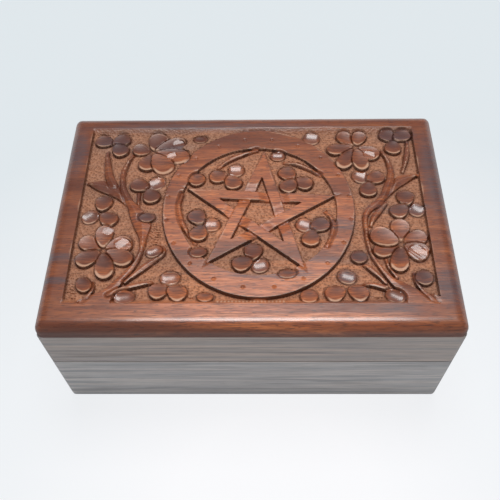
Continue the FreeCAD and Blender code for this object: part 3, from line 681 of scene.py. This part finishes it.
def edge_shades(grid):
    """How far each point of a grid of heights is a pared wall given painted shade, and how far a rim is pale,
    partly from wear and partly as a painted highlight. Both count most where the surface faces the front.
    """
    to_front, to_side = np.gradient(grid, CARVING_STEP)
    steep = np.hypot(to_front, to_side)
    facing = to_front / np.maximum(steep, 0.01)
    # Painted shade on steep pared walls, most where they face the front
    wall = np.clip((steep - WALL_SLOPE) / WALL_SLOPE_RANGE, 0, 1) * np.clip(0.7 + 0.4 * facing, 0, 1)
    proud = grid - box_mean(grid, WEAR_AND_HIGHLIGHT_POINTS)
    wear_and_highlight = np.clip(proud / WEAR_AND_HIGHLIGHT_HEIGHT, 0, 1) * np.clip(0.3 + 0.7 * facing, 0, 1)
    return wall.ravel(), wear_and_highlight.ravel()


def carved_panel(material):
    """The lid's board: one sheet of heights over its top, closed by its sides and a flat underside."""
    columns = grid_lines(HALF_LENGTH, BORDER_SIDE, BORDER_SIDE)
    rows = grid_lines(HALF_DEPTH, BORDER_FRONT, BORDER_BACK)
    bm = bmesh.new()
    bmesh.ops.create_grid(bm, x_segments=len(columns) - 1, y_segments=len(rows) - 1, size=1)
    forms = carved_forms()
    flat_x, flat_y = (grid.ravel() for grid in np.meshgrid(columns, rows))
    x, y = drawn_to_outlines(forms, *round_corners(flat_x, flat_y))
    carving, shows = carved_heights(forms, x, y)
    drop = edge_drop(x, y)
    z = np.minimum(PANEL_HIGH.z + carving - drop, PANEL_HIGH.z)
    for vert, place in zip(bm.verts, np.column_stack([x, y, z]) * MM):
        vert.co = place
    bmesh.ops.triangulate(bm, faces=bm.faces, quad_method="SHORT_EDGE")
    rim = [edge for edge in bm.edges if edge.is_boundary]
    for part in bmesh.ops.extrude_edge_only(bm, edges=rim)["geom"]:
        if isinstance(part, bmesh.types.BMVert):
            part.co.z = PANEL_LOW.z * MM
    bmesh.ops.holes_fill(bm, edges=[edge for edge in bm.edges if edge.is_boundary], sides=0)
    bmesh.ops.recalc_face_normals(bm, faces=bm.faces)
    below = len(bm.verts) - len(x)
    for face in bm.faces:
        face.smooth = True
    piece = finished_piece("carved_panel", bm, material, "lid", ["lid_panel"])
    piece.data.set_sharp_from_angle(angle=math.radians(38))

    # Handling has burnished the top of the rounded edge. Its foot, the board's sides and its underside get
    # painted shade
    upper_round = ROUND_BURNISH * np.clip(drop / 0.03, 0, 1) * smooth_step(1.8 - drop)
    wall, wear_and_highlight = edge_shades(carving.reshape(len(rows), len(columns)))
    # Painted highlights on the forms' front rims and the row of pale dots join the rims made pale
    bright = np.maximum(shows.pop("bright"), dotted_row(x, y))
    shows["burnished"] = np.maximum(shows["burnished"], upper_round)
    shows["hollow_shade"] = np.maximum(shows["hollow_shade"], smooth_step((drop - 2) / 3))
    # Painted shade on front-facing pared walls and in the grooves set in round forms
    shows["wall"] = np.maximum(wall, GROOVE_SHADE * shows.pop("groove"))
    shows["wear_and_highlight"] = np.maximum(wear_and_highlight, bright)
    # The points below the top sheet, on the board's sides and underside, are wholly in painted shade
    for name, values in shows.items():
        attribute = piece.data.attributes.new(name, "FLOAT", "POINT")
        attribute.data.foreach_set("value", np.append(values, np.full(below, float(name == "hollow_shade"))))
    return piece


def cut_slots(bm, up):
    """Cuts a driver's slot into each screw head whose face looks that way."""
    level = [face for face in bm.faces if face.normal.z * up > 0.99]
    for head in [face for face in level if face.calc_area() > LEAST_HEAD_AREA]:
        middle = head.calc_center_median()
        bmesh.ops.inset_individual(bm, faces=[head], thickness=HEAD_RIM)
        parts = [head]
        for side in (-1, 1):
            geom = parts + list({edge for face in parts for edge in face.edges})
            plane = middle + Vector((side * SLOT_WIDTH / 2, 0, 0))
            cut = bmesh.ops.bisect_plane(bm, geom=geom, plane_co=plane, plane_no=(1, 0, 0))["geom"]
            parts = [part for part in cut if isinstance(part, bmesh.types.BMFace)]
        strip = [face for face in parts if abs(face.calc_center_median().x - middle.x) < SLOT_WIDTH / 4]
        moved = bmesh.ops.extrude_face_region(bm, geom=strip)["geom"]
        verts = [part for part in moved if isinstance(part, bmesh.types.BMVert)]
        bmesh.ops.translate(bm, verts=verts, vec=(0, 0, -up * SLOT_DEPTH))


def open_seam(bm, up, outward):
    """Sinks the outer edge of the face that meets the box's other half, so that the seam shows as a line."""
    meeting = max(bm.faces, key=lambda face: face.normal.z * up * face.calc_area())
    height = meeting.calc_center_median().z
    reach = max(vert.co.dot(outward) for vert in bm.verts) - SEAM_DEPTH
    geom = [meeting, *meeting.edges, *meeting.verts]
    bmesh.ops.bisect_plane(bm, geom=geom, plane_co=outward * reach, plane_no=outward)
    level = [vert for vert in bm.verts if abs(vert.co.z - height) < MM / 100]
    edge = [vert for vert in level if vert.co.dot(outward) > reach + MM / 100]
    bmesh.ops.translate(bm, verts=edge, vec=(0, 0, -up * SEAM_GAP / 2))


def eased_copy(node, name, material, body, ease, smooth=False, slots_up=0, outward=None):
    """A copy of a CAD piece, its sharp arrises eased unless that is nought.

    A screw's head gets its slot, and a wall that has an outward side its open seam.
    """
    bm = bmesh.new()
    bm.from_mesh(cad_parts[node].data)
    bmesh.ops.remove_doubles(bm, verts=bm.verts, dist=MM / 1000)
    if ease:
        bmesh.ops.dissolve_limit(bm, angle_limit=math.radians(1), verts=bm.verts, edges=bm.edges)
        inner = [edge for edge in bm.edges if len(edge.link_faces) == 2]
        sharp = [edge for edge in inner if edge.calc_face_angle_signed() > math.radians(50)]
        bmesh.ops.bevel(bm, geom=sharp, offset=ease, affect="EDGES", segments=2, profile=0.5, material=-1)
    if slots_up:
        cut_slots(bm, slots_up)
    if outward:
        open_seam(bm, 1 if body == "base" else -1, Vector(outward))
    for face in bm.faces:
        face.smooth = smooth
    piece = finished_piece(name, bm, material, body, [node])
    piece.data.set_sharp_from_angle(angle=math.radians(30))
    return piece


def linear(code):
    """An sRGB hex colour as linear light."""
    shares = [int(code[i:i + 2], 16) / 255 for i in (0, 2, 4)]
    return [s / 12.92 if s <= 0.04045 else ((s + 0.055) / 1.055) ** 2.4 for s in shares] + [1]


def add(tree, kind, inputs=None, **settings):
    """Adds a node with its settings, and fills or links its inputs."""
    made = tree.nodes.new(kind)
    for name, value in settings.items():
        setattr(made, name, value)
    for name, value in (inputs or {}).items():
        if isinstance(value, bpy.types.NodeSocket):
            tree.links.new(value, made.inputs[name])
        else:
            made.inputs[name].default_value = value
    return made


def new_material(name):
    material = bpy.data.materials.new(name)
    material.use_nodes = True
    material.node_tree.nodes.clear()
    return material, material.node_tree


# Places of a Mix node's sockets: its first and second number, its first and second colour, and the mixed ones
NUMBER_A, NUMBER_B, COLOUR_A, COLOUR_B = 2, 3, 6, 7
NUMBER_OUT, COLOUR_OUT = 0, 2

# Tints of the carved board: of a painted falloff of light, darkening the parts far from the middle of a
# painted pool of light, and of its dark grey streaks and patches
LIGHT_POOL_MIDDLE = (5 * MM, -25 * MM, 59 * MM)
POOL_FALLOFF_SHADE_TINT = "5a2814"
STREAK_TINT = "57464a"
# Tints laid on in turn: the punched finish, painted shade in hollows, a pale tint that is partly wear and
# partly a painted highlight on rims, and painted shade on front-facing walls and grooves. For each, the
# amounts between which one grows, how far it covers, its colour
FINISH_AND_PAINTED_LIGHT_TINTS = [
    ("punched", 0, 1, 0.4, "e6ac88"),
    ("hollow_shade", 0.2, 0.9, 0.68, "54302a"),
    ("wear_and_highlight", 0.2, 0.9, 0.6, "e6b898"),
    ("wall", 0, 0.6, 0.85, "3e2015"),
]
BURNISHED_ROUGHNESS = 0.22
HOLLOW_ROUGHNESS = 0.75
PUNCHED_ROUGHNESS = 0.62
# The punch's marks are a little coarser than real ones, so that they show
PUNCH_PITCH = 0.85 * MM
PUNCH_DEPTH = 0.6 * MM
# The tint of painted shade in the punch's pits
PIT_SHADE_TINT = "74402a"


def carved_finishes(tree, place, fibre, colour, gloss, bump):
    """What carving adds to the wood.

    Hollows get painted shade and are dull. Front-facing walls and grooves get painted shade, rims are pale
    partly from wear and partly as a painted highlight, and the punched ground is pale with painted shade in
    its pits. The board darkens away from the middle of a painted pool of light.
    Gives the colour, the roughness, the bump and how far the wood is burnished.
    """
    # A painted pool of light: the board darkens away from its middle
    away = add(tree, "ShaderNodeVectorMath", {0: place, 1: LIGHT_POOL_MIDDLE}, operation="DISTANCE").outputs["Value"]
    outer = add(tree, "ShaderNodeMapRange", {
        "Value": away, "From Min": 26 * MM, "From Max": 78 * MM, "To Max": 0.66}).outputs["Result"]
    streak = add(tree, "ShaderNodeAttribute", attribute_name="streak").outputs["Fac"]
    streak = add(tree, "ShaderNodeMath", {0: streak, 1: fibre}, operation="MULTIPLY").outputs[0]
    streak = add(tree, "ShaderNodeMath", {0: streak, 1: 1.25}, operation="MULTIPLY").outputs[0]
    shares = {"outer": outer, "streak": streak}
    tints = {"outer": POOL_FALLOFF_SHADE_TINT, "streak": STREAK_TINT}
    for finish, low, high, most, tint in FINISH_AND_PAINTED_LIGHT_TINTS:
        amount = add(tree, "ShaderNodeAttribute", attribute_name=finish).outputs["Fac"]
        share = add(tree, "ShaderNodeMapRange", {
            "Value": amount, "From Min": low, "From Max": high, "To Max": most})
        shares[finish] = share.outputs["Result"]
        tints[finish] = tint
    for finish, share in shares.items():
        mixed = add(tree, "ShaderNodeMix", {
            0: share, COLOUR_A: colour, COLOUR_B: linear(tints[finish])}, data_type="RGBA")
        colour = mixed.outputs[COLOUR_OUT]

    burnished = add(tree, "ShaderNodeAttribute", attribute_name="burnished").outputs["Fac"]
    punched = add(tree, "ShaderNodeAttribute", attribute_name="punched").outputs["Fac"]
    for share, roughness in (
            (burnished, BURNISHED_ROUGHNESS),
            (shares["hollow_shade"], HOLLOW_ROUGHNESS),
            (punched, PUNCHED_ROUGHNESS)):
        mixed = add(tree, "ShaderNodeMix", {0: share, NUMBER_A: gloss, NUMBER_B: roughness})
        gloss = mixed.outputs[NUMBER_OUT]
    fibre_relief = add(tree, "ShaderNodeMapRange", {"Value": burnished, "To Min": 0.25, "To Max": 0.04})
    tree.links.new(fibre_relief.outputs["Result"], bump.inputs["Strength"])

    marks = add(tree, "ShaderNodeTexVoronoi", {"Vector": place, "Scale": 1 / PUNCH_PITCH}).outputs["Distance"]
    bump = add(tree, "ShaderNodeBump", {
        "Height": marks, "Strength": punched, "Distance": PUNCH_DEPTH, "Normal": bump.outputs["Normal"]})
    # Painted shade at the bottoms of the punch's pits
    pit_shade = add(tree, "ShaderNodeMapRange", {
        "Value": marks, "From Min": 0.15, "From Max": 0.6, "To Min": 0.65, "To Max": 0.0}).outputs["Result"]
    pit_shade = add(tree, "ShaderNodeMath", {0: pit_shade, 1: punched}, operation="MULTIPLY").outputs[0]
    mixed = add(tree, "ShaderNodeMix", {
        0: pit_shade, COLOUR_A: colour, COLOUR_B: linear(PIT_SHADE_TINT)}, data_type="RGBA")
    return mixed.outputs[COLOUR_OUT], gloss, bump, burnished


def rosewood(name, plain, roughness, layers, carved=False, turned=False):
    """Rosewood, planed and oiled: a satin brown with long dark bands, fine fibres and short dark pores.

    Carved wood has the carving's finishes and painted light too, and its burnished cuts a thin shine of wax.
    On a turned board the grain runs from front to back.
    """
    material, tree = new_material(name)
    place = add(tree, "ShaderNodeTexCoord").outputs["Object"]
    colour = linear(plain)
    grains = []
    for sizes, detail, low, high, most, tint in layers:
        along, across, through = (1 / (size * MM) for size in sizes)
        scale = (across, along, through) if turned else (along, across, through)
        drawn_out = add(tree, "ShaderNodeMapping", {"Vector": place, "Scale": scale}).outputs["Vector"]
        noise = add(tree, "ShaderNodeTexNoise", {
            "Vector": drawn_out, "Scale": 1.0, "Detail": detail, "Distortion": 0.4})
        grains.append(noise.outputs["Fac"])
        share = add(tree, "ShaderNodeMapRange", {
            "Value": grains[-1], "From Min": low, "From Max": high, "To Max": most}).outputs["Result"]
        mixed = add(tree, "ShaderNodeMix", {
            0: share, COLOUR_A: colour, COLOUR_B: linear(tint)}, data_type="RGBA")
        colour = mixed.outputs[COLOUR_OUT]
    fibre, pores = grains[-2:]
    relief = add(tree, "ShaderNodeMath", {0: fibre, 1: pores}, operation="SUBTRACT").outputs[0]
    bump = add(tree, "ShaderNodeBump", {"Height": relief, "Strength": 0.25, "Distance": 0.1 * MM})
    least, most = roughness - 0.05, roughness + 0.07
    gloss = add(tree, "ShaderNodeMapRange", {
        "Value": fibre, "From Min": 0.3, "From Max": 0.7, "To Min": least, "To Max": most}).outputs["Result"]
    wax = {}
    if carved:
        colour, gloss, bump, burnished = carved_finishes(tree, place, fibre, colour, gloss, bump)
        wax = {"Coat Weight": burnished, "Coat Roughness": 0.2}
    shader = add(tree, "ShaderNodeBsdfPrincipled", {
        "Base Color": colour, "Roughness": gloss, "IOR": 1.5, "Normal": bump.outputs["Normal"], **wax})
    add(tree, "ShaderNodeOutputMaterial", {"Surface": shader.outputs["BSDF"]})
    return material


def aged_brass():
    """Brass sheet dulled by handling: a warm metal with soft patches of tarnish."""
    material, tree = new_material("aged_brass")
    place = add(tree, "ShaderNodeTexCoord").outputs["Object"]
    patches = add(tree, "ShaderNodeTexNoise", {"Vector": place, "Scale": 1 / (4 * MM), "Detail": 4.0})
    share = add(tree, "ShaderNodeMapRange", {
        "Value": patches.outputs["Fac"], "From Min": 0.4, "From Max": 0.7}).outputs["Result"]
    mixed = add(tree, "ShaderNodeMix", {
        0: share, COLOUR_A: linear("c8a45a"), COLOUR_B: linear("8a6a35")}, data_type="RGBA")
    gloss = add(tree, "ShaderNodeMapRange", {"Value": share, "To Min": 0.28, "To Max": 0.5}).outputs["Result"]
    shader = add(tree, "ShaderNodeBsdfPrincipled", {
        "Base Color": mixed.outputs[COLOUR_OUT], "Metallic": 1.0, "Roughness": gloss})
    add(tree, "ShaderNodeOutputMaterial", {"Surface": shader.outputs["BSDF"]})
    return material


# Layers of grain, coarse to fine: sizes along, across and through the board in mm, detail, where and how much
# it shows, and its tint. The last two are the fibres and the pores
panel_wood = rosewood("oiled_rosewood_panel", "e0824c", 0.37, [
    ((28, 3.0, 6), 4.0, 0.38, 0.6, 1.0, "b86238"),
    ((90, 8, 14), 3.0, 0.5, 0.66, 0.85, "743a24"),
    ((40, 1.5, 5), 2.0, 0.54, 0.7, 0.5, "562d1e"),
    ((7, 0.5, 0.8), 3.0, 0.4, 0.7, 0.75, "6a3422"),
    ((2.6, 0.34, 0.5), 0.0, 0.64, 0.72, 0.6, "35211d"),
], carved=True)
# The walls' pale grey is partly the dry wood's greyish bloom and partly a painted reflection of the white
# sheet and of the light it throws up. The base's walls, nearer the sheet, are painted paler than the lid's
BASE_BLOOM_AND_SHEEN_LAYERS = [
    ((70, 3, 2.4), 3.0, 0.36, 0.62, 1.0, "b0acad"),
    ((110, 5, 5), 3.0, 0.54, 0.68, 0.7, "8f898b"),
    ((24, 0.7, 0.6), 2.0, 0.45, 0.75, 0.4, "6d625e"),
    ((6, 0.4, 0.3), 0.0, 0.66, 0.74, 0.2, "4a403c"),
]
LID_BLOOM_AND_SHEEN_LAYERS = [
    ((70, 3, 2.4), 3.0, 0.36, 0.62, 1.0, "a79c99"),
    ((110, 5, 5), 3.0, 0.54, 0.68, 0.7, "867a77"),
    ((24, 0.7, 0.6), 2.0, 0.45, 0.75, 0.4, "6d5f58"),
    ((6, 0.4, 0.3), 0.0, 0.66, 0.74, 0.2, "4a403c"),
]
wall_woods = {}
for body, plain, layers in (("base", "d8cdc7", BASE_BLOOM_AND_SHEEN_LAYERS), ("lid", "cab6aa", LID_BLOOM_AND_SHEEN_LAYERS)):
    wall_woods[body] = [
        rosewood(f"oiled_rosewood_{body}_walls", plain, 0.5, layers),
        rosewood(f"oiled_rosewood_{body}_ends", plain, 0.5, layers, turned=True)]
floor_wood = rosewood("rosewood_floor", "a98467", 0.6, [
    ((60, 4, 4), 3.0, 0.36, 0.62, 1.0, "8d6a50"),
    ((110, 8, 8), 3.0, 0.54, 0.68, 0.7, "66493a"),
    ((12, 0.6, 0.6), 2.0, 0.45, 0.75, 0.4, "66493a"),
    ((4, 0.4, 0.4), 0.0, 0.66, 0.74, 0.5, "46322a"),
])
brass = aged_brass()

carved_panel(panel_wood)
for body, (long_wood, end_wood) in wall_woods.items():
    for side, wood, ease, outward in (
            ("front", long_wood, ARRIS, (0, -1, 0)), ("right", end_wood, ARRIS, (1, 0, 0)),
            ("back", long_wood, 0, None), ("left", end_wood, ARRIS, (-1, 0, 0))):
        name = f"{body}_{side}_board"
        eased_copy(f"{body}_{side}_wall", name, wood, body, ease, outward=outward)
eased_copy("base_floor", "floor_board", floor_wood, "base", ARRIS)
for side in ("left", "right"):
    for body in ("base", "lid"):
        node = f"{side}_hinge_{body}_leaf"
        eased_copy(node, f"{node}_plate", brass, body, 0, smooth=True)
    name = f"{side}_hinge_rod"
    eased_copy(f"{side}_hinge_pin", name, brass, "base", METAL_ARRIS, smooth=True)
for body, up in (("base", 1), ("lid", -1)):
    node = f"{body}_hinge_screws"
    name = f"{body}_hinge_screw_set"
    eased_copy(node, name, brass, body, METAL_ARRIS, smooth=True, slots_up=up)


# The sheet under the box: its size, the middle of a painted pool of light on it, how far off that pool ends,
# and its own light's share
SHEET_RADIUS = 3.0
SHEET_RISE = 1.4
SHEET_LIGHT_POOL_MIDDLE = (0.01, -0.1, 0)
SHEET_BRIGHT_FROM, SHEET_BRIGHT_TO = 0.04, 0.22
SHEET_OWN_LIGHT = 0.88


def pale_floor():
    """A smooth white sheet under the box, turned up far off, with a painted pool of light in front, that
    keeps a soft shadow.
    """
    material, tree = new_material("white_card")
    place = add(tree, "ShaderNodeTexCoord").outputs["Object"]
    away = add(tree, "ShaderNodeVectorMath", {0: place, 1: SHEET_LIGHT_POOL_MIDDLE}, operation="DISTANCE")
    share = add(tree, "ShaderNodeMapRange", {
        "Value": away.outputs["Value"], "From Min": SHEET_BRIGHT_FROM, "From Max": SHEET_BRIGHT_TO})
    # The painted pool of light: near white in front of the box, a greyer blue farther off
    mixed = add(tree, "ShaderNodeMix", {
        0: share.outputs["Result"], COLOUR_A: linear("fdfdff"), COLOUR_B: linear("e2e9ed")}, data_type="RGBA")
    colour = mixed.outputs[COLOUR_OUT]
    lit = add(tree, "ShaderNodeBsdfDiffuse", {"Color": colour}).outputs["BSDF"]
    bright = add(tree, "ShaderNodeEmission", {"Color": colour, "Strength": 1.0}).outputs["Emission"]
    path = add(tree, "ShaderNodeLightPath")
    seen = path.outputs["Is Camera Ray"]
    for ray in ("Is Glossy Ray", "Is Transmission Ray"):
        seen = add(tree, "ShaderNodeMath", {0: seen, 1: path.outputs[ray]}, operation="MAXIMUM").outputs[0]
    share = add(tree, "ShaderNodeMath", {0: seen, 1: SHEET_OWN_LIGHT}, operation="MULTIPLY").outputs[0]
    mixed = add(tree, "ShaderNodeMixShader", {0: share, 1: lit, 2: bright})
    add(tree, "ShaderNodeOutputMaterial", {"Surface": mixed.outputs["Shader"]})
    bm = bmesh.new()
    bmesh.ops.create_circle(bm, cap_ends=True, segments=96, radius=SHEET_RADIUS)
    rim = [edge for edge in bm.edges if edge.is_boundary]
    for part in bmesh.ops.extrude_edge_only(bm, edges=rim)["geom"]:
        if isinstance(part, bmesh.types.BMVert):
            part.co.z = SHEET_RISE
    mesh = bpy.data.meshes.new("floor_sheet")
    bm.to_mesh(mesh)
    bm.free()
    mesh.materials.append(material)
    sheet = bpy.data.objects.new("floor_sheet", mesh)
    bpy.context.scene.collection.objects.link(sheet)
    sheet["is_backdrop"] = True


def studio_light():
    """An even, pale surround and one broad lamp overhead, a little behind the box."""
    world = bpy.data.worlds.new("studio")
    world.use_nodes = True
    background = world.node_tree.nodes["Background"]
    background.inputs["Color"].default_value = linear("e4ebef")
    background.inputs["Strength"].default_value = 0.4
    bpy.context.scene.world = world
    lamp = bpy.data.lights.new("key_light", "AREA")
    lamp.shape = "RECTANGLE"
    lamp.size = 0.4
    lamp.size_y = 0.32
    lamp.energy = 4.3
    holder = bpy.data.objects.new("key_light", lamp)
    holder.location = (0.025, 0.20, 0.80)
    aim = Vector((0, 0, 0.05)) - holder.location
    holder.rotation_euler = aim.to_track_quat("-Z", "Y").to_euler()
    bpy.context.scene.collection.objects.link(holder)


def photo_camera():
    """Stands and looks as the photo's camera does, fitted to the box's edges."""
    camera = bpy.data.cameras.new("camera")
    camera.lens = 47.56
    camera.sensor_width = 36
    camera.clip_start = 0.01
    holder = bpy.data.objects.new("camera", camera)
    turn = Matrix.Rotation(math.radians(1.81), 4, "Z")
    tilt = Matrix.Rotation(math.radians(90 - 56.41), 4, "X")
    roll = Matrix.Rotation(math.radians(-1.72), 4, "Z")
    place = Matrix.Translation((0.00394, -0.15361, 0.26401))
    holder.matrix_world = place @ turn @ tilt @ roll
    bpy.context.scene.collection.objects.link(holder)
    bpy.context.scene.camera = holder


pale_floor()
studio_light()
photo_camera()
bpy.context.scene.view_settings.view_transform = "Standard"

bounds = [[list(corner) for corner in box] for box in (cad_bounds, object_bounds())]
